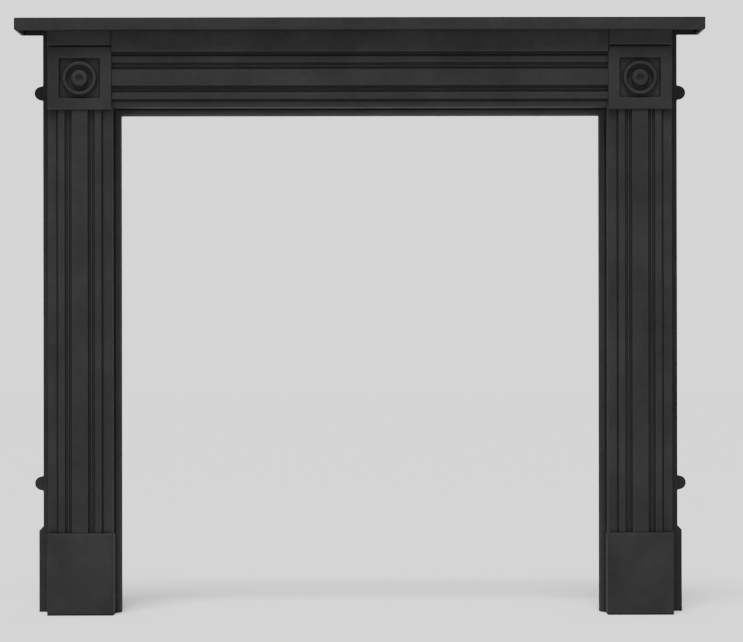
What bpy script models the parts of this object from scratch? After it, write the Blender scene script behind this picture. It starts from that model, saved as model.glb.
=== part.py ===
# Cast-iron fireplace mantelpiece: two reeded jambs with corner roundels, a reeded frieze and a shelf.
# X runs along the wall, the front faces -Y and Z is up. The origin is on the floor, halfway along
# the width and the depth. Sizes are in metres, and a "front" is a distance forward of the wall.

import math

import bmesh
import bpy
from mathutils import Matrix
from mathutils.kdtree import KDTree

# Fire opening and the roll moulding that frames it
OPENING_WIDTH = 0.958
OPENING_HEIGHT = 0.995
ROLL_WIDTH = 0.0130
ROLL_FRONT = 0.038
ROLL_CREST = 0.0032
ROLL_QUIRK = 0.003
ROLL_DROP = 0.024

# Castings in general
WALL = 0.007
FIT_GAP = 0.0003
ARRIS = 0.0011
FACE_ARRIS = 0.002

# Reeded face of the legs and the frieze: widths across it, and rises above its plain margins
FACE_WIDTH = 0.127
FACE_FRONT = 0.088
FLAT_WIDTH = 0.0318
FLAT_RISE = 0.0065
FLUTES_WIDTH = 0.0139
FLUTE_DEPTH = 0.001
FLUTE_ROUND = 0.0022
BEAD_WIDTH = 0.0036
BEAD_RISE = 0.0012
BAND_WIDTH = 0.0129
BAND_RISE = 0.0045
QUIRK_WIDTH = 0.0039
QUIRK_DEPTH = 0.0015
QUIRK_ROUND = 0.0004
DRAFT = 0.0007

# On the frieze the reeding lies a little below the middle of that width
REEDING_DROP = 0.0052

# Flange at the outer back edge of a jamb, wider beside the foot
FLANGE_REACH = 0.0180
FOOT_FLANGE_REACH = 0.0263
FLANGE_FRONT = 0.015
FLANGE_ROUND = 0.004
FLANGE_SPLAY = 0.009

# Fixing lugs on the flange
LUG_RADIUS = 0.014
LUG_REACH = 0.0173
LUG_THICKNESS = 0.008
LUG_FILLET = 0.004
LOWER_LUG_HEIGHT = 0.258
UPPER_LUG_DROP = 0.0863

# Foot block of a jamb
FOOT_HEIGHT = 0.1635
FOOT_FRONT = 0.099
FOOT_SIDE = 0.0022
FOOT_ROUND = 0.005

# Corner block with its sunk panel, hung a little below the frieze
BLOCK_HEIGHT = 0.126
BLOCK_DROP = 0.006
BLOCK_FRONT = 0.098
BLOCK_ROUND = 0.003
PANEL_WIDTH = 0.080
PANEL_HEIGHT = 0.078
PANEL_SINK = 0.0035
PANEL_CORNER = 0.003

# Roundel in the panel: a ring round a dimpled boss
RING_RADIUS = 0.0335
RING_WIDTH = 0.0070
RING_RISE = 0.0070
BOSS_RADIUS = 0.0165
BOSS_RISE = 0.0065
BOSS_ROUND = 0.0045
DIMPLE_RADIUS = 0.0075
DIMPLE_DEPTH = 0.0022
ROUNDEL_ROOT = 0.002
ROUNDEL_STEPS = 40

# Fascia under the shelf: an end piece on each jamb, and the middle of the frieze
END_FASCIA_HEIGHT = 0.030
END_FASCIA_FRONT = 0.105
END_FASCIA_ROUND = 0.006
END_FASCIA_ARRIS = 0.0035
MID_FASCIA_HEIGHT = 0.041
MID_FASCIA_FRONT = 0.100

# Shelf: a shallow tray with its lip turned down, reaching past the jambs' flanges
SHELF_OVERHANG = 0.0455
SHELF_DEPTH = 0.125
SHELF_THICKNESS = 0.025
SHELF_ROUND = 0.0025

# How far a cutter runs past the face that it opens, and how near an edge counts as on a plane
CLEAR = 0.010
NEAR = 0.0005

# Outlines are drawn this many times larger
DRAWN_SCALE = 1000

# Planes worked out from the sizes above
WALL_Y = SHELF_DEPTH / 2
OPENING_X = OPENING_WIDTH / 2
INNER_X = OPENING_X + ROLL_WIDTH
OUTER_X = INNER_X + FACE_WIDTH
LEG_X = (INNER_X + OUTER_X) / 2
FLANGE_X = OUTER_X + FLANGE_REACH
SHELF_X = FLANGE_X + SHELF_OVERHANG
FRIEZE_BOTTOM = OPENING_HEIGHT + ROLL_WIDTH
FRIEZE_MIDDLE = FRIEZE_BOTTOM + FACE_WIDTH / 2 - REEDING_DROP
BLOCK_BOTTOM = FRIEZE_BOTTOM - BLOCK_DROP
BLOCK_TOP = BLOCK_BOTTOM + BLOCK_HEIGHT
SHELF_BOTTOM = BLOCK_TOP + END_FASCIA_HEIGHT
SHELF_TOP = SHELF_BOTTOM + SHELF_THICKNESS
HEAD_TOP = SHELF_TOP - WALL - FIT_GAP
MID_FASCIA_BOTTOM = SHELF_BOTTOM - MID_FASCIA_HEIGHT
FACE_BACK = FACE_FRONT - max(QUIRK_DEPTH, FLUTE_DEPTH) - WALL

# Axis maps for a prism: outline first and second coordinate, then its length
ALONG_Z = Matrix.Identity(4)
ALONG_Y = Matrix(((1, 0, 0, 0), (0, 0, -1, 0), (0, 1, 0, 0), (0, 0, 0, 1)))
ALONG_X = Matrix(((0, 0, 1, 0), (1, 0, 0, 0), (0, 1, 0, 0), (0, 0, 0, 1)))


def clear_scene():
    for item in list(bpy.data.objects):
        bpy.data.objects.remove(item, do_unlink=True)


def new_collection(name):
    collection = bpy.data.collections.new(name)
    bpy.context.scene.collection.children.link(collection)
    return collection


def satin_black(name):
    material = bpy.data.materials.new(name)
    material.use_nodes = True
    shader = material.node_tree.nodes["Principled BSDF"]
    shader.inputs["Base Color"].default_value = (0.036, 0.036, 0.037, 1.0)
    shader.inputs["Roughness"].default_value = 0.45
    shader.inputs["Metallic"].default_value = 0.0
    return material


def new_object(name, mesh, collection):
    mesh.name = name
    item = bpy.data.objects.new(name, mesh)
    collection.objects.link(item)
    return item


def evaluated_mesh(item):
    bpy.context.view_layer.update()
    return bpy.data.meshes.new_from_object(item.evaluated_get(bpy.context.evaluated_depsgraph_get()))


def smooth(mesh):
    mesh.shade_smooth()
    mesh.set_sharp_from_angle(angle=math.radians(32))


def arc(centre, radii, start, end, steps):
    points = []
    for step in range(steps + 1):
        angle = math.radians(start + (end - start) * step / steps)
        points.append((centre[0] + radii[0] * math.cos(angle), centre[1] + radii[1] * math.sin(angle)))
    return points


def rounded(corners, steps=3):
    # Each corner is (u, v, radius). A radius of 0 leaves it sharp, and any other becomes an arc.
    points = []
    for index, (u, v, radius) in enumerate(corners):
        if radius == 0:
            points.append((u, v))
            continue
        before = corners[index - 1]
        after = corners[(index + 1) % len(corners)]
        in_u, in_v = unit(before[0] - u, before[1] - v)
        out_u, out_v = unit(after[0] - u, after[1] - v)
        half = math.acos(max(-1.0, min(1.0, in_u * out_u + in_v * out_v))) / 2
        mid_u, mid_v = unit(in_u + out_u, in_v + out_v)
        reach = radius / math.sin(half)
        centre = (u + mid_u * reach, v + mid_v * reach)
        tangent = radius / math.tan(half)
        first = (u + in_u * tangent, v + in_v * tangent)
        last = (u + out_u * tangent, v + out_v * tangent)
        start = math.atan2(first[1] - centre[1], first[0] - centre[0])
        end = math.atan2(last[1] - centre[1], last[0] - centre[0])
        sweep = math.remainder(end - start, 2 * math.pi)
        bend = arc(centre, (radius, radius), math.degrees(start), math.degrees(start + sweep), steps)
        points += [first] + bend[1:-1] + [last]
    return points


def unit(u, v):
    length = math.hypot(u, v)
    return u / length, v / length


def prism(name, outline, axes, start, end, collection):
    # A flat outline drawn as a filled curve, extruded and laid along one world axis. A filled curve
    # loses details under 0.03 units, so it is drawn large and each point is put back in its place.
    # Its ends are then made one face each, because their filling leaves triangles without area.
    places = KDTree(len(outline))
    for index, (u, v) in enumerate(outline):
        places.insert((u, v, 0), index)
    places.balance()
    curve = bpy.data.curves.new(name, "CURVE")
    curve.dimensions = "2D"
    curve.fill_mode = "BOTH"
    curve.extrude = DRAWN_SCALE * abs(end - start) / 2
    spline = curve.splines.new("POLY")
    spline.points.add(len(outline) - 1)
    for point, (u, v) in zip(spline.points, outline):
        point.co = (u * DRAWN_SCALE, v * DRAWN_SCALE, 0, 1)
    spline.use_cyclic_u = True
    drawn = bpy.data.objects.new(name, curve)
    collection.objects.link(drawn)
    mesh = evaluated_mesh(drawn)
    bpy.data.objects.remove(drawn)
    shape = bmesh.new()
    shape.from_mesh(mesh)
    bmesh.ops.remove_doubles(shape, verts=shape.verts, dist=0.001)
    for vertex in shape.verts:
        drawn_at = vertex.co / DRAWN_SCALE
        u, v = outline[places.find((drawn_at.x, drawn_at.y, 0))[1]]
        vertex.co = (u, v, end if drawn_at.z > 0 else start)
    for level in (start, end):
        cap = [face for face in shape.faces if all(abs(vertex.co.z - level) < NEAR for vertex in face.verts)]
        bmesh.ops.dissolve_faces(shape, faces=cap)
    bmesh.ops.transform(shape, matrix=axes, verts=shape.verts)
    bmesh.ops.recalc_face_normals(shape, faces=shape.faces)
    shape.to_mesh(mesh)
    shape.free()
    smooth(mesh)
    return new_object(name, mesh, collection)


def box(name, low, high, collection):
    shape = bmesh.new()
    bmesh.ops.create_cube(shape, size=1.0)
    for vertex in shape.verts:
        vertex.co = [high[axis] if vertex.co[axis] > 0 else low[axis] for axis in range(3)]
    mesh = bpy.data.meshes.new(name)
    shape.to_mesh(mesh)
    shape.free()
    return new_object(name, mesh, collection)


def soften(item, width, chosen):
    # Rounds the edges whose middle point is chosen
    shape = bmesh.new()
    shape.from_mesh(item.data)
    bmesh.ops.dissolve_limit(shape, angle_limit=math.radians(0.5), verts=shape.verts, edges=shape.edges)
    edges = [edge for edge in shape.edges if chosen((edge.verts[0].co + edge.verts[1].co) / 2)]
    bmesh.ops.bevel(shape, geom=edges, offset=width, segments=3, profile=0.5, affect="EDGES")
    shape.to_mesh(item.data)
    shape.free()
    smooth(item.data)


def combine(target, tool, operation):
    tool.hide_render = True
    tool.display_type = "WIRE"
    modifier = target.modifiers.new(operation.lower() + " " + tool.name, "BOOLEAN")
    modifier.operation = operation
    modifier.object = tool


def reeding():
    # Cross-section of the reeded face from one quirk to the other: (offset from its middle, rise)
    flat = FLAT_WIDTH / 2
    band = flat + FLUTES_WIDTH
    quirk = band + BAND_WIDTH
    margin = quirk + QUIRK_WIDTH
    bead = flat + FLUTES_WIDTH / 2
    half = [
        (flat, FLAT_RISE, ARRIS),
        (flat + DRAFT, -FLUTE_DEPTH, FLUTE_ROUND),
        (bead - BEAD_WIDTH / 2, -FLUTE_DEPTH, 0),
        (bead - BEAD_WIDTH / 4, BEAD_RISE, BEAD_WIDTH / 5),
        (bead + BEAD_WIDTH / 4, BEAD_RISE, BEAD_WIDTH / 5),
        (bead + BEAD_WIDTH / 2, -FLUTE_DEPTH, 0),
        (band - DRAFT, -FLUTE_DEPTH, FLUTE_ROUND),
        (band, BAND_RISE, ARRIS),
        (quirk, BAND_RISE, ARRIS),
        (quirk + DRAFT, -QUIRK_DEPTH, QUIRK_ROUND),
        (margin - DRAFT, -QUIRK_DEPTH, QUIRK_ROUND),
        (margin, 0, QUIRK_ROUND),
    ]
    other_half = [(-offset, rise, radius) for offset, rise, radius in reversed(half)]
    return other_half + half


def roll():
    # Cross-section of the roll moulding: (distance from the reveal, front), reveal to opening
    quirk_side = arc((ROLL_CREST, ROLL_FRONT - ROLL_QUIRK), (ROLL_CREST, ROLL_QUIRK), 180, 90, 3)
    opening_side = arc((ROLL_CREST, ROLL_FRONT - ROLL_DROP), (ROLL_WIDTH - ROLL_CREST, ROLL_DROP), 90, 0, 5)
    return quirk_side + opening_side[1:]


def mitre(name, shift, side, above, collection):
    # Cutter for the roll at a top corner of the opening: the 45 degree line through the corner is
    # moved inwards by shift, and the cutter lies above it or else outside it
    low_x = OPENING_X - CLEAR - shift
    high_x = INNER_X - shift
    low_z = OPENING_HEIGHT - CLEAR
    line = [(side * low_x, low_z), (side * high_x, FRIEZE_BOTTOM)]
    if above:
        outline = line + [(side * INNER_X, HEAD_TOP + CLEAR), (side * low_x, HEAD_TOP + CLEAR)]
    else:
        outline = line + [(side * (INNER_X + CLEAR), FRIEZE_BOTTOM), (side * (INNER_X + CLEAR), low_z)]
    return prism(name, outline, ALONG_Y, -WALL_Y - CLEAR, CLEAR + ROLL_FRONT - WALL_Y, collection)


def leg_body(name, collection):
    # Reeded leg with the flange at its outer back edge and the roll at its inner one, floor to head
    corners = [
        (FLANGE_X, 0, 0),
        (FLANGE_X, FLANGE_FRONT, FLANGE_ROUND),
        (OUTER_X, FLANGE_FRONT, 0),
        (OUTER_X, FACE_FRONT, FACE_ARRIS),
    ]
    corners += [(LEG_X + offset, FACE_FRONT + rise, radius) for offset, rise, radius in reversed(reeding())]
    corners += [(INNER_X, FACE_FRONT, FACE_ARRIS), (INNER_X, ROLL_FRONT - ROLL_QUIRK, 0)]
    section = rounded(corners)
    section += [(INNER_X - distance, front) for distance, front in roll()[1:]]
    section.append((OPENING_X, 0))
    outline = [(x, WALL_Y - front) for x, front in section]
    return prism(name, outline, ALONG_Z, 0, HEAD_TOP, collection)


def foot_block(collection):
    front = WALL_Y - FOOT_FRONT
    low = (INNER_X - FOOT_SIDE, front, 0)
    high = (OUTER_X + FOOT_SIDE, WALL_Y, FOOT_HEIGHT)

    def chosen(middle):
        on_front = middle.y < front + NEAR and middle.z > NEAR
        on_top_side = middle.z > FOOT_HEIGHT - NEAR and middle.y < WALL_Y - NEAR
        return on_front or on_top_side

    block = box("foot block", low, high, collection)
    soften(block, FOOT_ROUND, chosen)
    return block


def foot_flange(collection):
    reach = OUTER_X + FOOT_FLANGE_REACH
    inside = OUTER_X - WALL / 2
    outline = [
        (inside, 0),
        (reach, 0),
        (reach, FOOT_HEIGHT),
        (FLANGE_X, FOOT_HEIGHT + FLANGE_SPLAY),
        (inside, FOOT_HEIGHT + FLANGE_SPLAY),
    ]
    return prism("foot flange", outline, ALONG_Y, -WALL_Y, FLANGE_FRONT - WALL_Y, collection)


def corner_block(collection):
    front = WALL_Y - BLOCK_FRONT
    low = (INNER_X, front, BLOCK_BOTTOM)
    high = (OUTER_X, WALL_Y, BLOCK_TOP)
    block = box("corner block", low, high, collection)
    soften(block, BLOCK_ROUND, lambda middle: middle.y < front + NEAR)
    return block


def end_fascia(collection):
    front = WALL_Y - END_FASCIA_FRONT
    corners = [
        (INNER_X, WALL_Y, 0),
        (INNER_X, front, END_FASCIA_ROUND),
        (OUTER_X, front, END_FASCIA_ROUND),
        (OUTER_X, WALL_Y, 0),
    ]
    fascia = prism("end fascia", rounded(corners, steps=5), ALONG_Z, BLOCK_TOP, HEAD_TOP, collection)

    def chosen(middle):
        return middle.z < BLOCK_TOP + NEAR and middle.y < front + 2 * END_FASCIA_ROUND

    soften(fascia, END_FASCIA_ARRIS, chosen)
    return fascia


def lug(name, height, collection):
    tip = FLANGE_X + LUG_REACH
    root = LUG_RADIUS + LUG_FILLET
    inside = OUTER_X + WALL / 2
    corners = [
        (inside, height - root, 0),
        (FLANGE_X, height - root, 0),
        (FLANGE_X, height - LUG_RADIUS, LUG_FILLET),
        (tip, height - LUG_RADIUS, LUG_RADIUS),
        (tip, height + LUG_RADIUS, LUG_RADIUS),
        (FLANGE_X, height + LUG_RADIUS, LUG_FILLET),
        (FLANGE_X, height + root, 0),
        (inside, height + root, 0),
    ]
    outline = rounded(corners, steps=7)
    return prism(name, outline, ALONG_Y, -WALL_Y, LUG_THICKNESS - WALL_Y, collection)


def panel_recess(collection):
    middle = (BLOCK_TOP + BLOCK_BOTTOM) / 2
    corners = []
    for side, level in ((-1, -1), (1, -1), (1, 1), (-1, 1)):
        corners.append((LEG_X + side * PANEL_WIDTH / 2, middle + level * PANEL_HEIGHT / 2, PANEL_CORNER))
    floor = BLOCK_FRONT - PANEL_SINK - WALL_Y
    return prism("panel recess", rounded(corners), ALONG_Y, floor, BLOCK_FRONT + CLEAR - WALL_Y, collection)


def roundel(collection):
    # Turned about its own axis, root in the block, then laid with its face forward
    inner_ring = RING_RADIUS - RING_WIDTH
    ring_round = RING_WIDTH * 0.45
    corners = [
        (0, BOSS_RISE - DIMPLE_DEPTH, 0),
        (DIMPLE_RADIUS - DIMPLE_DEPTH, BOSS_RISE - DIMPLE_DEPTH, ARRIS),
        (DIMPLE_RADIUS, BOSS_RISE, ARRIS),
        (BOSS_RADIUS, BOSS_RISE, BOSS_ROUND),
        (BOSS_RADIUS + DRAFT, 0, ARRIS),
        (inner_ring - DRAFT, 0, ARRIS),
        (inner_ring, RING_RISE, ring_round),
        (RING_RADIUS, RING_RISE, ring_round),
        (RING_RADIUS, -ROUNDEL_ROOT, 0),
        (0, -ROUNDEL_ROOT, 0),
    ]
    shape = bmesh.new()
    last = None
    for radius, height in rounded(corners):
        vertex = shape.verts.new((radius, 0, height))
        if last:
            shape.edges.new((last, vertex))
        last = vertex
    mesh = bpy.data.meshes.new("roundel")
    shape.to_mesh(mesh)
    shape.free()
    item = new_object("roundel", mesh, collection)
    turn = item.modifiers.new("turn", "SCREW")
    turn.axis = "Z"
    turn.angle = 2 * math.pi
    turn.steps = ROUNDEL_STEPS
    turn.render_steps = ROUNDEL_STEPS
    turn.use_merge_vertices = True
    turn.merge_threshold = 0.00001
    turn.use_smooth_shade = True
    item.rotation_euler = (math.pi / 2, 0, 0)
    item.location = (LEG_X, WALL_Y - BLOCK_FRONT + PANEL_SINK, (BLOCK_TOP + BLOCK_BOTTOM) / 2)
    return item


def jamb_hollow(collection):
    # Open at the wall, stepped so that the casting keeps its wall behind foot, leg, block and fascia
    foot_back = FOOT_FRONT - WALL
    block_back = BLOCK_FRONT - PANEL_SINK - WALL
    fascia_back = END_FASCIA_FRONT - WALL
    steps = [
        (-CLEAR, WALL),
        (foot_back, WALL),
        (foot_back, FOOT_HEIGHT - WALL),
        (FACE_BACK, FOOT_HEIGHT - WALL),
        (FACE_BACK, BLOCK_BOTTOM + WALL),
        (block_back, BLOCK_BOTTOM + WALL),
        (block_back, BLOCK_TOP + WALL),
        (fascia_back, BLOCK_TOP + WALL),
        (fascia_back, HEAD_TOP - WALL),
        (-CLEAR, HEAD_TOP - WALL),
    ]
    outline = [(WALL_Y - front, height) for front, height in steps]
    return prism("jamb hollow", outline, ALONG_X, INNER_X + WALL, OUTER_X - WALL, collection)


def right_jamb(parts, cutters):
    jamb = leg_body("right_jamb", parts)
    added = [foot_block(cutters), foot_flange(cutters), corner_block(cutters), end_fascia(cutters)]
    added.append(lug("lower lug", LOWER_LUG_HEIGHT, cutters))
    added.append(lug("upper lug", BLOCK_TOP - UPPER_LUG_DROP, cutters))
    for piece in added:
        combine(jamb, piece, "UNION")
    combine(jamb, mitre("jamb mitre", 0, 1, True, cutters), "DIFFERENCE")
    combine(jamb, jamb_hollow(cutters), "DIFFERENCE")
    combine(jamb, panel_recess(cutters), "DIFFERENCE")
    combine(jamb, roundel(cutters), "UNION")
    jamb.data.materials.append(satin_black("right jamb paint"))
    return jamb


def left_jamb(parts, pattern):
    # The right jamb's casting, mirrored
    mesh = evaluated_mesh(pattern)
    shape = bmesh.new()
    shape.from_mesh(mesh)
    bmesh.ops.transform(shape, matrix=Matrix.Diagonal((-1, 1, 1, 1)), verts=shape.verts)
    bmesh.ops.reverse_faces(shape, faces=shape.faces)
    shape.to_mesh(mesh)
    shape.free()
    mesh.materials.clear()
    mesh.materials.append(satin_black("left jamb paint"))
    return new_object("left_jamb", mesh, parts)


def frieze(parts, cutters):
    corners = [(FACE_FRONT, FRIEZE_BOTTOM, FACE_ARRIS)]
    corners += [(FACE_FRONT + rise, FRIEZE_MIDDLE + offset, radius) for offset, rise, radius in reeding()]
    corners += [
        (FACE_FRONT, MID_FASCIA_BOTTOM, 0),
        (MID_FASCIA_FRONT, MID_FASCIA_BOTTOM, ARRIS),
        (MID_FASCIA_FRONT, HEAD_TOP, ARRIS),
        (0, HEAD_TOP, 0),
        (0, HEAD_TOP - WALL, 0),
        (MID_FASCIA_FRONT - WALL, HEAD_TOP - WALL, 0),
        (MID_FASCIA_FRONT - WALL, MID_FASCIA_BOTTOM + WALL, 0),
        (FACE_BACK, MID_FASCIA_BOTTOM + WALL, 0),
        (FACE_BACK, FRIEZE_BOTTOM + WALL, 0),
        (0, FRIEZE_BOTTOM + WALL, 0),
        (0, OPENING_HEIGHT, 0),
        (ROLL_FRONT - ROLL_DROP, OPENING_HEIGHT, 0),
        (ROLL_FRONT - ROLL_QUIRK, FRIEZE_BOTTOM, 0),
    ]
    section = rounded(corners)
    quirk_end = section.pop()
    section.pop()
    section += [(front, FRIEZE_BOTTOM - distance) for distance, front in reversed(roll()[1:])]
    section.append(quirk_end)
    outline = [(WALL_Y - front, height) for front, height in section]
    half_length = INNER_X - FIT_GAP
    piece = prism("frieze", outline, ALONG_X, -half_length, half_length, parts)
    for side in (-1, 1):
        cutter = mitre("frieze mitre", FIT_GAP * math.sqrt(2), side, False, cutters)
        combine(piece, cutter, "DIFFERENCE")
    piece.data.materials.append(satin_black("frieze paint"))
    return piece


def shelf(parts, cutters):
    # The jambs' heads go up into the tray from behind, and beyond them its lip returns along the wall
    front = WALL_Y - SHELF_DEPTH
    piece = box("shelf", (-SHELF_X, front, SHELF_BOTTOM), (SHELF_X, WALL_Y, SHELF_TOP), parts)
    soften(piece, SHELF_ROUND, lambda middle: middle.y < WALL_Y - NEAR)
    inside = SHELF_X - WALL
    heads = FLANGE_X + FIT_GAP
    outline = [
        (-inside, front + WALL),
        (inside, front + WALL),
        (inside, WALL_Y - WALL),
        (heads, WALL_Y - WALL),
        (heads, WALL_Y + CLEAR),
        (-heads, WALL_Y + CLEAR),
        (-heads, WALL_Y - WALL),
        (-inside, WALL_Y - WALL),
    ]
    hollow = prism("shelf hollow", outline, ALONG_Z, SHELF_BOTTOM - CLEAR, SHELF_TOP - WALL, cutters)
    combine(piece, hollow, "DIFFERENCE")
    piece.data.materials.append(satin_black("shelf paint"))
    return piece


clear_scene()
parts = new_collection("fireplace mantelpiece")
cutters = new_collection("cutters")
left_jamb(parts, right_jamb(parts, cutters))
frieze(parts, cutters)
shelf(parts, cutters)
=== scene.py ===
import math

import bpy
from mathutils import Matrix, Vector


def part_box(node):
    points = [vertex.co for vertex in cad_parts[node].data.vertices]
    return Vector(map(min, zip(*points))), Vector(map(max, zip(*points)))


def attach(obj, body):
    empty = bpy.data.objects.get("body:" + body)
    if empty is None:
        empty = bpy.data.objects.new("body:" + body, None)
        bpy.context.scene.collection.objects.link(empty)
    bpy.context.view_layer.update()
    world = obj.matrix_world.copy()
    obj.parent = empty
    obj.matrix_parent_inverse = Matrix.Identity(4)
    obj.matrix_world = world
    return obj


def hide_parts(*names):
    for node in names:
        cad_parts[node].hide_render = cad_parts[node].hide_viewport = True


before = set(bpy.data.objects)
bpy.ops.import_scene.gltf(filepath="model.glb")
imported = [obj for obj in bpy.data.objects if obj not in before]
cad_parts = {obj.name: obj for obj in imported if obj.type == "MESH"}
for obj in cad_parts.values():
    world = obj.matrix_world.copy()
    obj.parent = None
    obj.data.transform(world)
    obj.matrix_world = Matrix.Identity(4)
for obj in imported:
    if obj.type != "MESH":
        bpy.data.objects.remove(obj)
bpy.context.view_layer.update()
print("frame loaded")

# Sizes are in metres. A "front" is a distance forward of the wall, as in the castings themselves.
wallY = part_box("shelf")[1].y
shelfLow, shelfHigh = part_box("shelf")
jambLow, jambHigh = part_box("right_jamb")
friezeLow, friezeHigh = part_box("frieze")
openingX = jambLow.x
headTop = jambHigh.z

casting = {
    "wall": 0.007,
    "fitGap": 0.0003,
    "mitreGap": 0.00005,  # closer than the rest, so that no light comes through
    "clear": 0.010,       # how far a cutter runs past what it opens
    "near": 0.0003,       # an edge this close to a plane counts as on it
    "merge": 0.00001,
    "bendSteps": 6,       # segments in a rounded edge
    "smoothAngle": 34,    # degrees, above which an edge stays sharp
    "arris": 0.0011,
    "faceArris": 0.002,
}
innerX = friezeHigh.x + casting["fitGap"]
near = casting["near"]
penSize = 0.01            # of the plane that a drawn line starts from, merged to its middle


# Building by hand in edit mode

def deselectAll():
    if bpy.context.object and bpy.context.object.mode == "EDIT":
        bpy.ops.object.mode_set(mode="OBJECT")
    bpy.ops.object.select_all(action="DESELECT")


def makeActive(piece):
    deselectAll()
    bpy.context.view_layer.objects.active = piece
    piece.select_set(True)


def applyModifiers(piece):
    makeActive(piece)
    for modifier in list(piece.modifiers):
        bpy.ops.object.modifier_apply(modifier=modifier.name)


def unit(u, v):
    length = math.hypot(u, v)
    return u / length, v / length


def rounded(corners, steps=casting["bendSteps"]):
    # (u, v, radius) corners to points, each corner with a radius becoming an arc
    points = []
    for index, (u, v, radius) in enumerate(corners):
        if radius == 0:
            points.append((u, v))
            continue
        before = corners[index - 1]
        after = corners[(index + 1) % len(corners)]
        inU, inV = unit(before[0] - u, before[1] - v)
        outU, outV = unit(after[0] - u, after[1] - v)
        half = math.acos(max(-1.0, min(1.0, inU * outU + inV * outV))) / 2
        midU, midV = unit(inU + outU, inV + outV)
        centre = (u + midU * radius / math.sin(half), v + midV * radius / math.sin(half))
        tangent = radius / math.tan(half)
        first = (u + inU * tangent, v + inV * tangent)
        last = (u + outU * tangent, v + outV * tangent)
        start = math.atan2(first[1] - centre[1], first[0] - centre[0])
        end = math.atan2(last[1] - centre[1], last[0] - centre[0])
        sweep = math.remainder(end - start, 2 * math.pi)
        points.append(first)
        for step in range(1, steps):
            angle = start + sweep * step / steps
            points.append((centre[0] + radius * math.cos(angle), centre[1] + radius * math.sin(angle)))
        points.append(last)
    return points


def drawLine(name, points):
    # One point, extruded from place to place like a pen
    deselectAll()
    bpy.ops.mesh.primitive_plane_add(size=penSize, location=points[0])
    piece = bpy.context.object
    piece.name = name
    bpy.ops.object.mode_set(mode="EDIT")
    bpy.ops.mesh.merge(type="CENTER")
    for start, end in zip(points, points[1:]):
        step = Vector(end) - Vector(start)
        bpy.ops.mesh.extrude_vertices_move(TRANSFORM_OT_translate={"value": step})
    return piece


def drawPrism(name, points, length):
    # A closed outline, filled and pulled out along one axis
    piece = drawLine(name, points)
    bpy.ops.mesh.select_all(action="SELECT")
    bpy.ops.mesh.edge_face_add()
    bpy.ops.mesh.extrude_region_move(TRANSFORM_OT_translate={"value": Vector(length)})
    bpy.ops.mesh.select_all(action="SELECT")
    bpy.ops.mesh.normals_make_consistent(inside=False)
    bpy.ops.object.mode_set(mode="OBJECT")
    settle(piece)
    return piece


def settle(piece):
    makeActive(piece)
    bpy.ops.object.transform_apply(location=True, rotation=True, scale=True)


def roundEdges(piece, width, wanted, segments=casting["bendSteps"]):
    # Bevels the edges whose middle is wanted
    makeActive(piece)
    for polygon in piece.data.polygons:
        polygon.select = False
    for vertex in piece.data.vertices:
        vertex.select = False
    for edge in piece.data.edges:
        a, b = (piece.data.vertices[index].co for index in edge.vertices)
        edge.select = wanted((a + b) / 2)
    bpy.ops.object.mode_set(mode="EDIT")
    bpy.ops.mesh.select_mode(type="EDGE")
    bpy.ops.mesh.bevel(offset=width, segments=segments, profile=0.5, affect="EDGES")
    bpy.ops.mesh.select_mode(type="VERT")
    bpy.ops.object.mode_set(mode="OBJECT")


def addBox(name, low, high):
    deselectAll()
    low, high = Vector(low), Vector(high)
    bpy.ops.mesh.primitive_cube_add(size=1, location=(low + high) / 2, scale=high - low)
    piece = bpy.context.object
    piece.name = name
    settle(piece)
    return piece


def combine(piece, tool, operation):
    modifier = piece.modifiers.new(operation.lower(), "BOOLEAN")
    modifier.operation = operation
    modifier.object = tool
    applyModifiers(piece)
    bpy.data.objects.remove(tool, do_unlink=True)


def finishPiece(piece, material, *nodes):
    makeActive(piece)
    piece.data.name = piece.name
    piece.data.materials.clear()
    piece.data.materials.append(material)
    bpy.ops.object.shade_smooth_by_angle(angle=math.radians(casting["smoothAngle"]))
    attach(piece, "root")
    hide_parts(*nodes)


# Materials

def linear(hexColour):
    # The sRGB curve
    channels = []
    for index in (0, 2, 4):
        value = int(hexColour[index:index + 2], 16) / 255
        channels.append(value / 12.92 if value <= 0.04045 else ((value + 0.055) / 1.055) ** 2.4)
    return (*channels, 1.0)


def addNode(tree, kind, settings=None, values=None, links=None):
    # Settings are the node's own, and values and links go to its inputs
    node = tree.nodes.new(kind)
    for name, value in (settings or {}).items():
        setattr(node, name, value)
    for name, value in (values or {}).items():
        node.inputs[name].default_value = value
    for name, output in (links or {}).items():
        tree.links.new(output, node.inputs[name])
    return node


blacking = {
    "pale": "202021",                        # where the brush left the coat thin
    "deep": "181819",
    "arrisHighlight": "2b2b2d",                        # painted highlight along the arrises
    "paintedShade": "0d0d0e",                     # painted shade in the corners of the mouldings
    "grain": {"mm": 1.6, "detail": 2.0},     # sand of the mould, drawn coarse enough to show
    "brush": {"mm": 16, "detail": 4.0},
    "drift": {"mm": 90, "detail": 3.0},      # slow rise and fall of a cast face
    "arrisHighlightMm": 3,
    "paintedShadeMm": 7,
    "cornerSamples": 6,
    "cornerRange": {"From Min": 0.95, "From Max": 0.45},    # how open a face is, and a corner
    "thinRange": {"From Min": 0.3, "From Max": 0.7},
    "highlightPatchRange": {"From Min": 0.35, "From Max": 0.6, "To Min": 0.25},
    "roughRange": {"From Min": 0.3, "From Max": 0.7, "To Min": 0.72, "To Max": 0.86},
    "sway": {"Strength": 0.10, "Distance": 0.004},
    "peel": {"Strength": 0.16, "Distance": 0.0006},
    "ior": 1.5,
    "specular": 0.16,
}


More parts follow.
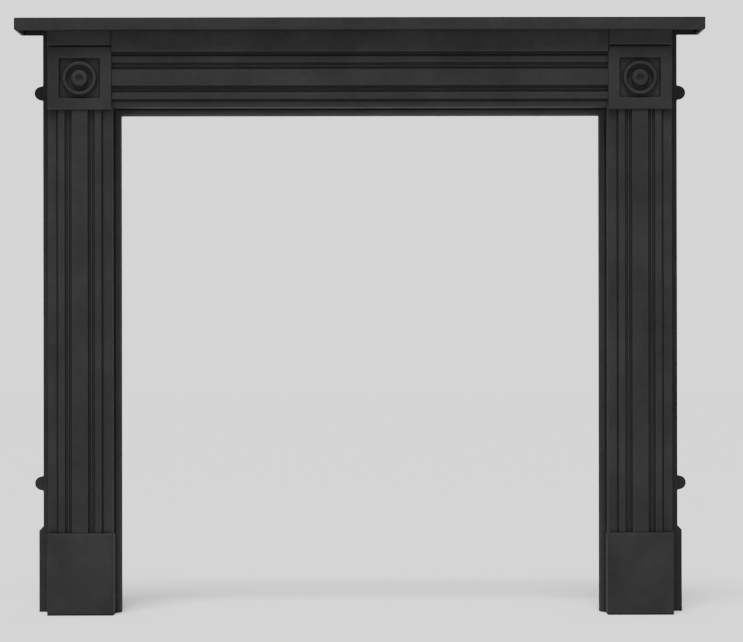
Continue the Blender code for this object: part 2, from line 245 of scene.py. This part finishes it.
def stoveBlackMaterial():
    # Satin stove blacking brushed over sand-cast iron: broad soft lights, a faint orange-peel grain,
    # a painted highlight along the arrises and painted shade in the hollow corners
    material = bpy.data.materials.new("stoveBlackOnCastIron")
    material.use_nodes = True
    tree = material.node_tree
    shader = tree.nodes["Principled BSDF"]
    shader.inputs["Metallic"].default_value = 0.0
    shader.inputs["IOR"].default_value = blacking["ior"]
    shader.inputs["Specular IOR Level"].default_value = blacking["specular"]
    place = addNode(tree, "ShaderNodeTexCoord").outputs["Object"]

    noise = {}
    for name in ("grain", "brush", "drift"):
        values = {"Scale": 1000 / blacking[name]["mm"], "Detail": blacking[name]["detail"]}
        noise[name] = addNode(tree, "ShaderNodeTexNoise", {}, values, {"Vector": place}).outputs["Fac"]

    # 0 out on a face to 1 at a corner, looking out from the iron for hollow corners (painted shade) and
    # into it for arrises (painted highlight)
    corner = {}
    for name, inside in (("paintedShadeMm", False), ("arrisHighlightMm", True)):
        settings = {"inside": inside, "samples": blacking["cornerSamples"]}
        around = addNode(tree, "ShaderNodeAmbientOcclusion", settings, {"Distance": blacking[name] / 1000})
        mask = addNode(tree, "ShaderNodeMapRange", {}, blacking["cornerRange"],
                       {"Value": around.outputs["AO"]})
        corner[name] = mask.outputs["Result"]

    thin = addNode(tree, "ShaderNodeMapRange", {}, blacking["thinRange"], {"Value": noise["drift"]})
    coat = addNode(tree, "ShaderNodeMix", {"data_type": "RGBA"},
                   {"A": linear(blacking["deep"]), "B": linear(blacking["pale"])},
                   {"Factor": thin.outputs["Result"]})
    # Painted shade: a darker colour mixed in at the hollow corners, where shade falls
    paintedShade = addNode(tree, "ShaderNodeMix", {"data_type": "RGBA"}, {"B": linear(blacking["paintedShade"])},
                      {"Factor": corner["paintedShadeMm"], "A": coat.outputs["Result"]})
    # Painted highlight: a paler colour mixed in along the arrises, in patches set by the brush noise
    patches = addNode(tree, "ShaderNodeMapRange", {}, blacking["highlightPatchRange"], {"Value": noise["brush"]})
    arrisHighlightFactor = addNode(tree, "ShaderNodeMath", {"operation": "MULTIPLY"}, {},
                     {0: corner["arrisHighlightMm"], 1: patches.outputs["Result"]})
    arrisHighlight = addNode(tree, "ShaderNodeMix", {"data_type": "RGBA"}, {"B": linear(blacking["arrisHighlight"])},
                   {"Factor": arrisHighlightFactor.outputs["Value"], "A": paintedShade.outputs["Result"]})
    rough = addNode(tree, "ShaderNodeMapRange", {}, blacking["roughRange"], {"Value": noise["brush"]})
    sway = addNode(tree, "ShaderNodeBump", {}, blacking["sway"], {"Height": noise["drift"]})
    peel = addNode(tree, "ShaderNodeBump", {}, blacking["peel"],
                   {"Height": noise["grain"], "Normal": sway.outputs["Normal"]})
    tree.links.new(arrisHighlight.outputs["Result"], shader.inputs["Base Color"])
    tree.links.new(rough.outputs["Result"], shader.inputs["Roughness"])
    tree.links.new(peel.outputs["Normal"], shader.inputs["Normal"])
    return material


stoveBlack = stoveBlackMaterial()
print("materials made")


# The reeded face, shared by the legs and the frieze

reeded = {
    "width": 0.127,
    "front": 0.088,
    "flatWidth": 0.0318,
    "flatRise": 0.0065,
    "flutesWidth": 0.0139,
    "fluteDepth": 0.001,
    "fluteRound": 0.0022,
    "beadWidth": 0.0036,
    "beadRise": 0.0012,
    "bandWidth": 0.0129,
    "bandRise": 0.0045,
    "quirkWidth": 0.0039,
    "quirkDepth": 0.0015,
    "quirkRound": 0.0004,
    "draft": 0.0007,
    "friezeDrop": 0.0052,  # the frieze's reeding lies this much below the middle
}


def reedingCorners():
    # (offset from the middle of the face, rise above its margins, radius)
    flat = reeded["flatWidth"] / 2
    band = flat + reeded["flutesWidth"]
    quirk = band + reeded["bandWidth"]
    margin = quirk + reeded["quirkWidth"]
    bead = flat + reeded["flutesWidth"] / 2
    beadFoot = reeded["beadWidth"] / 2
    beadCrest = beadFoot / 2
    beadRound = reeded["beadWidth"] / 5
    half = [
        (flat, reeded["flatRise"], casting["arris"]),
        (flat + reeded["draft"], -reeded["fluteDepth"], reeded["fluteRound"]),
        (bead - beadFoot, -reeded["fluteDepth"], 0),
        (bead - beadCrest, reeded["beadRise"], beadRound),
        (bead + beadCrest, reeded["beadRise"], beadRound),
        (bead + beadFoot, -reeded["fluteDepth"], 0),
        (band - reeded["draft"], -reeded["fluteDepth"], reeded["fluteRound"]),
        (band, reeded["bandRise"], casting["arris"]),
        (quirk, reeded["bandRise"], casting["arris"]),
        (quirk + reeded["draft"], -reeded["quirkDepth"], reeded["quirkRound"]),
        (margin - reeded["draft"], -reeded["quirkDepth"], reeded["quirkRound"]),
        (margin, 0, reeded["quirkRound"]),
    ]
    return [(-offset, rise, radius) for offset, rise, radius in reversed(half)] + half


# The roll moulding round the opening

roll = {"front": 0.038, "crest": 0.0032, "quirk": 0.0014, "drop": 0.024, "steps": 10}
rollWidth = innerX - openingX


def rollLine():
    # (distance from the reveal, front), from the reveal to the opening
    line = []
    for step in range(1, roll["steps"] + 1):
        angle = math.radians(180 - 90 * step / roll["steps"])
        line.append((roll["crest"] * (1 + math.cos(angle)),
                     roll["front"] - roll["quirk"] * (1 - math.sin(angle))))
    for step in range(1, roll["steps"] + 1):
        angle = math.radians(90 - 90 * step / roll["steps"])
        line.append((roll["crest"] + (rollWidth - roll["crest"]) * math.cos(angle),
                     roll["front"] - roll["drop"] * (1 - math.sin(angle))))
    return line


# Frieze

friezeShape = {"fasciaHeight": 0.041}
friezeBottom = friezeLow.z + rollWidth
friezeMiddle = friezeBottom + reeded["width"] / 2 - reeded["friezeDrop"]
faceBack = reeded["front"] - reeded["quirkDepth"] - casting["wall"]


def buildFrieze():
    wall = casting["wall"]
    fasciaFront = wallY - friezeLow.y
    fasciaBottom = shelfLow.z - friezeShape["fasciaHeight"]
    corners = [(reeded["front"], friezeBottom, casting["faceArris"])]
    corners += [(reeded["front"] + rise, friezeMiddle + offset, radius)
                for offset, rise, radius in reedingCorners()]
    corners += [
        (reeded["front"], fasciaBottom, 0),
        (fasciaFront, fasciaBottom, casting["arris"]),
        (fasciaFront, headTop, casting["arris"]),
        (0, headTop, 0),
        (0, headTop - wall, 0),
        (fasciaFront - wall, headTop - wall, 0),
        (fasciaFront - wall, fasciaBottom + wall, 0),
        (faceBack, fasciaBottom + wall, 0),
        (faceBack, friezeBottom + wall, 0),
        (0, friezeBottom + wall, 0),
        (0, friezeLow.z, 0),
        (roll["front"] - roll["drop"], friezeLow.z, 0),
        (roll["front"] - roll["quirk"], friezeBottom, 0),
    ]
    section = rounded(corners)
    quirkEnd = section.pop()    # the roll's curve goes in before this, in place of its lowest corner
    section.pop()
    section += [(front, friezeBottom - distance) for distance, front in reversed(rollLine())]
    section.append(quirkEnd)
    points = [(friezeLow.x, wallY - front, height) for front, height in section]
    piece = drawPrism("friezeCasting", points, (friezeHigh.x - friezeLow.x, 0, 0))
    for side in (-1, 1):
        combine(piece, mitreCutter(side, casting["mitreGap"] * math.sqrt(2), False), "DIFFERENCE")
    finishPiece(piece, stoveBlack, "frieze")


def mitreCutter(side, shift, above):
    # Cuts the roll along the diagonal of the opening's top corner
    clear = casting["clear"]
    lowX, lowZ = openingX - clear - shift, friezeLow.z - clear
    line = [(lowX, lowZ), (innerX - shift, friezeBottom)]
    if above:
        line += [(innerX, headTop + clear), (lowX, headTop + clear)]
    else:
        line += [(innerX + clear, friezeBottom), (innerX + clear, lowZ)]
    start = wallY - roll["front"] - clear
    return drawPrism("mitre", [(side * x, start, z) for x, z in line], (0, roll["front"] + 2 * clear, 0))


buildFrieze()
print("frieze done")


# Jambs

jamb = {
    "flangeReach": 0.0180,
    "footFlangeReach": 0.0263,
    "flangeFront": 0.015,
    "flangeRound": 0.004,
    "flangeSplay": 0.009,
    "lugRadius": 0.014,
    "lugThickness": 0.008,
    "lugFillet": 0.004,
    "lugSteps": 12,
    "lugHeights": (0.258, 1.0417),
    "footHeight": 0.1635,
    "footFront": 0.099,
    "footSide": 0.0022,
    "footRound": 0.005,
    "blockHeight": 0.126,
    "blockDrop": 0.006,
    "blockFront": 0.098,
    "blockRound": 0.003,
    "panelSize": (0.080, 0.078),
    "panelSink": 0.0062,
    "panelDraft": 0.0025,    # how far the sides of the panel lean out by its front
    "panelCorner": 0.003,
    "fasciaRound": 0.006,
    "fasciaArris": 0.0035,
    "quirkFront": 0.0915,    # the dark line under the end fascia goes in to here
    "quirkRise": 0.0020,
    "quirkDrop": 0.0010,
}
outerX = innerX + reeded["width"]
legX = (innerX + outerX) / 2
flangeX = outerX + jamb["flangeReach"]
blockBottom = friezeBottom - jamb["blockDrop"]
blockTop = blockBottom + jamb["blockHeight"]
blockMiddle = (blockTop + blockBottom) / 2


def legBody():
    corners = [
        (flangeX, 0, 0),
        (flangeX, jamb["flangeFront"], jamb["flangeRound"]),
        (outerX, jamb["flangeFront"], 0),
        (outerX, reeded["front"], casting["faceArris"]),
    ]
    corners += [(legX + offset, reeded["front"] + rise, radius)
                for offset, rise, radius in reversed(reedingCorners())]
    corners += [(innerX, reeded["front"], casting["faceArris"]), (innerX, roll["front"] - roll["quirk"], 0)]
    section = rounded(corners)
    section += [(innerX - distance, front) for distance, front in rollLine()]
    section.append((openingX, 0))
    return drawPrism("rightJambCasting", [(x, wallY - front, 0) for x, front in section], (0, 0, headTop))


def footBlock():
    front = wallY - jamb["footFront"]
    inside, outside = innerX - jamb["footSide"], outerX + jamb["footSide"]
    piece = addBox("foot", (inside, front, 0), (outside, wallY, jamb["footHeight"]))

    def wanted(middle):
        onFront = middle.y < front + near and middle.z > near
        return onFront or (middle.z > jamb["footHeight"] - near and middle.y < wallY - near)

    roundEdges(piece, jamb["footRound"], wanted)
    return piece


def footFlange():
    inside, reach = outerX - casting["wall"] / 2, outerX + jamb["footFlangeReach"]
    top = jamb["footHeight"] + jamb["flangeSplay"]
    outline = [(inside, 0), (reach, 0), (reach, jamb["footHeight"]), (flangeX, top), (inside, top)]
    start = wallY - jamb["flangeFront"]
    return drawPrism("footFlange", [(x, start, z) for x, z in outline], (0, jamb["flangeFront"], 0))


def cornerBlock():
    front = wallY - jamb["blockFront"]
    piece = addBox("block", (innerX, front, blockBottom), (outerX, wallY, blockTop))
    roundEdges(piece, jamb["blockRound"], lambda middle: middle.y < front + near)
    return piece


def endFascia():
    front = jambLow.y
    corners = [
        (innerX, wallY, 0),
        (innerX, front, jamb["fasciaRound"]),
        (outerX, front, jamb["fasciaRound"]),
        (outerX, wallY, 0),
    ]
    points = [(x, y, blockTop) for x, y in rounded(corners)]
    piece = drawPrism("endFascia", points, (0, 0, headTop - blockTop))

    def wanted(middle):
        return middle.z < blockTop + near and middle.y < front + 2 * jamb["fasciaRound"]

    roundEdges(piece, jamb["fasciaArris"], wanted)
    return piece


def fixingLug(height):
    radius, fillet = jamb["lugRadius"], jamb["lugFillet"]
    root = radius + fillet
    inside = outerX + casting["wall"] / 2
    corners = [
        (inside, height - root, 0),
        (flangeX, height - root, 0),
        (flangeX, height - radius, fillet),
        (jambHigh.x, height - radius, radius),
        (jambHigh.x, height + radius, radius),
        (flangeX, height + radius, fillet),
        (flangeX, height + root, 0),
        (inside, height + root, 0),
    ]
    start = wallY - jamb["lugThickness"]
    outline = rounded(corners, jamb["lugSteps"])
    return drawPrism("lug", [(x, start, z) for x, z in outline], (0, jamb["lugThickness"], 0))


def jambHollow():
    wall, clear = casting["wall"], casting["clear"]
    footBack = jamb["footFront"] - wall
    blockBack = jamb["blockFront"] - jamb["panelSink"] - wall
    fasciaBack = wallY - jambLow.y - wall
    steps = [
        (-clear, wall),
        (footBack, wall),
        (footBack, jamb["footHeight"] - wall),
        (faceBack, jamb["footHeight"] - wall),
        (faceBack, blockBottom + wall),
        (blockBack, blockBottom + wall),
        (blockBack, blockTop + wall),
        (fasciaBack, blockTop + wall),
        (fasciaBack, headTop - wall),
        (-clear, headTop - wall),
    ]
    points = [(innerX + wall, wallY - front, height) for front, height in steps]
    return drawPrism("hollow", points, (reeded["width"] - 2 * wall, 0, 0))


def panelRecess():
    wide, high = (size - jamb["panelDraft"] for size in jamb["panelSize"])
    corners = [(legX + side * wide / 2, blockMiddle + level * high / 2, jamb["panelCorner"])
               for side, level in ((-1, -1), (1, -1), (1, 1), (-1, 1))]
    start = wallY - jamb["blockFront"] + jamb["panelSink"]
    depth = jamb["panelSink"] + casting["clear"]
    points = [(x, start, z) for x, z in rounded(corners)]
    piece = drawPrism("panel", points, (0, -depth, 0))
    # Its front end is made wider, and everything is let go first in edit mode, where edges stay selected
    bpy.ops.object.mode_set(mode="EDIT")
    bpy.ops.mesh.select_all(action="DESELECT")
    bpy.ops.object.mode_set(mode="OBJECT")
    for vertex in piece.data.vertices:
        vertex.select = vertex.co.y < start - near
    bpy.ops.object.mode_set(mode="EDIT")
    lean = 1 + 2 * jamb["panelDraft"] * depth / jamb["panelSink"] / wide
    bpy.ops.transform.resize(value=(lean, 1, lean), center_override=(legX, start - depth, blockMiddle))
    bpy.ops.object.mode_set(mode="OBJECT")
    return piece


def fasciaQuirk():
    clear = casting["clear"]
    low = (innerX - clear, jambLow.y - clear, blockTop - jamb["quirkDrop"])
    return addBox("quirk", low, (outerX + clear, wallY - jamb["quirkFront"], blockTop + jamb["quirkRise"]))


roundel = {
    "ringRadius": 0.0335,
    "ringWidth": 0.0070,
    "ringRise": 0.0097,
    "ringRound": 0.00315,
    "bossRadius": 0.0165,
    "bossRise": 0.0092,
    "bossRound": 0.0045,
    "dimpleRadius": 0.0085,
    "dimpleDepth": 0.0042,
    "root": 0.002,
    "steps": 96,
}


def turnedRoundel():
    ringInside = roundel["ringRadius"] - roundel["ringWidth"]
    dimpleFloor = roundel["bossRise"] - roundel["dimpleDepth"]
    corners = [
        (0, dimpleFloor, 0),
        (roundel["dimpleRadius"] - roundel["dimpleDepth"], dimpleFloor, casting["arris"]),
        (roundel["dimpleRadius"], roundel["bossRise"], casting["arris"]),
        (roundel["bossRadius"], roundel["bossRise"], roundel["bossRound"]),
        (roundel["bossRadius"] + reeded["draft"], 0, casting["arris"]),
        (ringInside - reeded["draft"], 0, casting["arris"]),
        (ringInside, roundel["ringRise"], roundel["ringRound"]),
        (roundel["ringRadius"], roundel["ringRise"], roundel["ringRound"]),
        (roundel["ringRadius"], -roundel["root"], 0),
        (0, -roundel["root"], 0),
    ]
    floor = wallY - jamb["blockFront"] + jamb["panelSink"]
    points = [(legX + radius, floor - height, blockMiddle) for radius, height in rounded(corners)]
    piece = drawLine("roundel", points)
    bpy.ops.mesh.select_all(action="SELECT")
    bpy.ops.mesh.spin(steps=roundel["steps"], angle=2 * math.pi,
                      center=(legX, floor, blockMiddle), axis=(0, 1, 0))
    bpy.ops.mesh.select_all(action="SELECT")
    bpy.ops.mesh.remove_doubles(threshold=casting["merge"])
    bpy.ops.mesh.normals_make_consistent(inside=False)
    bpy.ops.object.mode_set(mode="OBJECT")
    settle(piece)
    return piece


def buildJambs():
    piece = legBody()
    for tool in (footBlock(), footFlange(), cornerBlock(), endFascia()):
        combine(piece, tool, "UNION")
    for height in jamb["lugHeights"]:
        combine(piece, fixingLug(height), "UNION")
    combine(piece, mitreCutter(1, 0, True), "DIFFERENCE")
    combine(piece, jambHollow(), "DIFFERENCE")
    combine(piece, panelRecess(), "DIFFERENCE")
    combine(piece, fasciaQuirk(), "DIFFERENCE")
    combine(piece, turnedRoundel(), "UNION")
    makeActive(piece)
    bpy.ops.object.duplicate()
    other = bpy.context.object
    other.name = "leftJambCasting"
    bpy.ops.object.mode_set(mode="EDIT")
    bpy.ops.mesh.select_all(action="SELECT")
    bpy.ops.transform.mirror(constraint_axis=(True, False, False), center_override=(0, 0, 0))
    bpy.ops.mesh.flip_normals()
    bpy.ops.object.mode_set(mode="OBJECT")
    finishPiece(piece, stoveBlack, "right_jamb")
    finishPiece(other, stoveBlack, "left_jamb")


buildJambs()
print("jambs done")


# Shelf

shelfShape = {"edgeRound": 0.0025}


def buildShelf():
    # The legs' heads go up into the tray from behind, and beyond them its lip returns along the wall
    piece = addBox("shelfTray", shelfLow, shelfHigh)
    roundEdges(piece, shelfShape["edgeRound"], lambda middle: middle.y < wallY - near)
    wall, clear = casting["wall"], casting["clear"]
    inside = shelfHigh.x - wall
    heads = flangeX + casting["fitGap"]
    right = [
        (inside, shelfLow.y + wall),
        (inside, wallY - wall),
        (heads, wallY - wall),
        (heads, wallY + clear),
    ]
    outline = right + [(-x, y) for x, y in reversed(right)]
    points = [(x, y, shelfLow.z - clear) for x, y in outline]
    height = shelfHigh.z - wall - shelfLow.z + clear
    combine(piece, drawPrism("shelfHollow", points, (0, 0, height)), "DIFFERENCE")
    finishPiece(piece, stoveBlack, "shelf")


buildShelf()
print("shelf done")


# Camera, floor and light

view = {
    "place": (0.0144, -5.9557, 0.5699),
    "turn": -0.078,      # degrees to the left of straight on
    "tilt": 0.128,
    "roll": 0.086,
    "lens": 144.85,      # mm, and so is the sensor
    "sensor": 36,
}


def addCamera():
    camera = bpy.data.cameras.new("camera")
    camera.sensor_width = view["sensor"]
    camera.lens = view["lens"]
    holder = bpy.data.objects.new("camera", camera)
    bpy.context.scene.collection.objects.link(holder)
    turn = Matrix.Rotation(math.radians(view["turn"]), 4, "Z")
    tilt = Matrix.Rotation(math.radians(90 + view["tilt"]), 4, "X")
    lean = Matrix.Rotation(math.radians(-view["roll"]), 4, "Z")
    holder.matrix_world = Matrix.Translation(view["place"]) @ turn @ tilt @ lean
    bpy.context.scene.camera = holder


studio = {
    "floor": {"colour": "f6f6f4", "size": 40, "roughness": 0.9, "specular": 0.1},
    "backdrop": 1.72,          # what the camera sees behind the floor
    "skyStrength": 0.5,        # the soft light from all round
    "sun": {"elevation": 63, "swing": -10, "spread": 24, "strength": 4.9},
    "fill": {"place": (-0.2, -6.2, 1.1), "size": 2.4, "power": 170},
}


def addFloor():
    deselectAll()
    bpy.ops.mesh.primitive_plane_add(size=studio["floor"]["size"], location=(0, 0, 0))
    floor = bpy.context.object
    floor.name = "studioFloor"
    material = bpy.data.materials.new("paleFloor")
    material.use_nodes = True
    shader = material.node_tree.nodes["Principled BSDF"]
    shader.inputs["Base Color"].default_value = linear(studio["floor"]["colour"])
    shader.inputs["Roughness"].default_value = studio["floor"]["roughness"]
    shader.inputs["Specular IOR Level"].default_value = studio["floor"]["specular"]
    floor.data.materials.append(material)


def addFill(place, size, power):
    # A disk in front of the part, turned to about half way up it
    light = bpy.data.lights.new("fill", "AREA")
    light.shape = "DISK"
    light.size = size
    light.energy = power
    holder = bpy.data.objects.new("fill", light)
    bpy.context.scene.collection.objects.link(holder)
    aim = Vector((0, 0, (shelfHigh.z + shelfLow.z) / 4)) - Vector(place)
    holder.location = place
    holder.rotation_euler = aim.to_track_quat("-Z", "Y").to_euler()


def addSun(elevation, swing, spread, strength):
    # A very wide sun, from above and in front: soft shadows, and the same light all over the floor
    light = bpy.data.lights.new("softSun", "SUN")
    light.angle = math.radians(spread)
    light.energy = strength
    holder = bpy.data.objects.new("softSun", light)
    bpy.context.scene.collection.objects.link(holder)
    holder.rotation_euler = (math.radians(90 - elevation), 0, math.radians(swing))


def addSky():
    world = bpy.data.worlds.new("studio")
    bpy.context.scene.world = world
    world.use_nodes = True
    tree = world.node_tree
    background = tree.nodes["Background"]
    background.inputs["Color"].default_value = (1, 1, 1, 1)
    seen = addNode(tree, "ShaderNodeLightPath").outputs["Is Camera Ray"]
    strength = addNode(tree, "ShaderNodeMapRange", {},
                       {"To Min": studio["skyStrength"], "To Max": studio["backdrop"]}, {"Value": seen})
    tree.links.new(strength.outputs["Result"], background.inputs["Strength"])


addCamera()
addFloor()
addSky()
addSun(**studio["sun"])
addFill(**studio["fill"])
print("stage set")
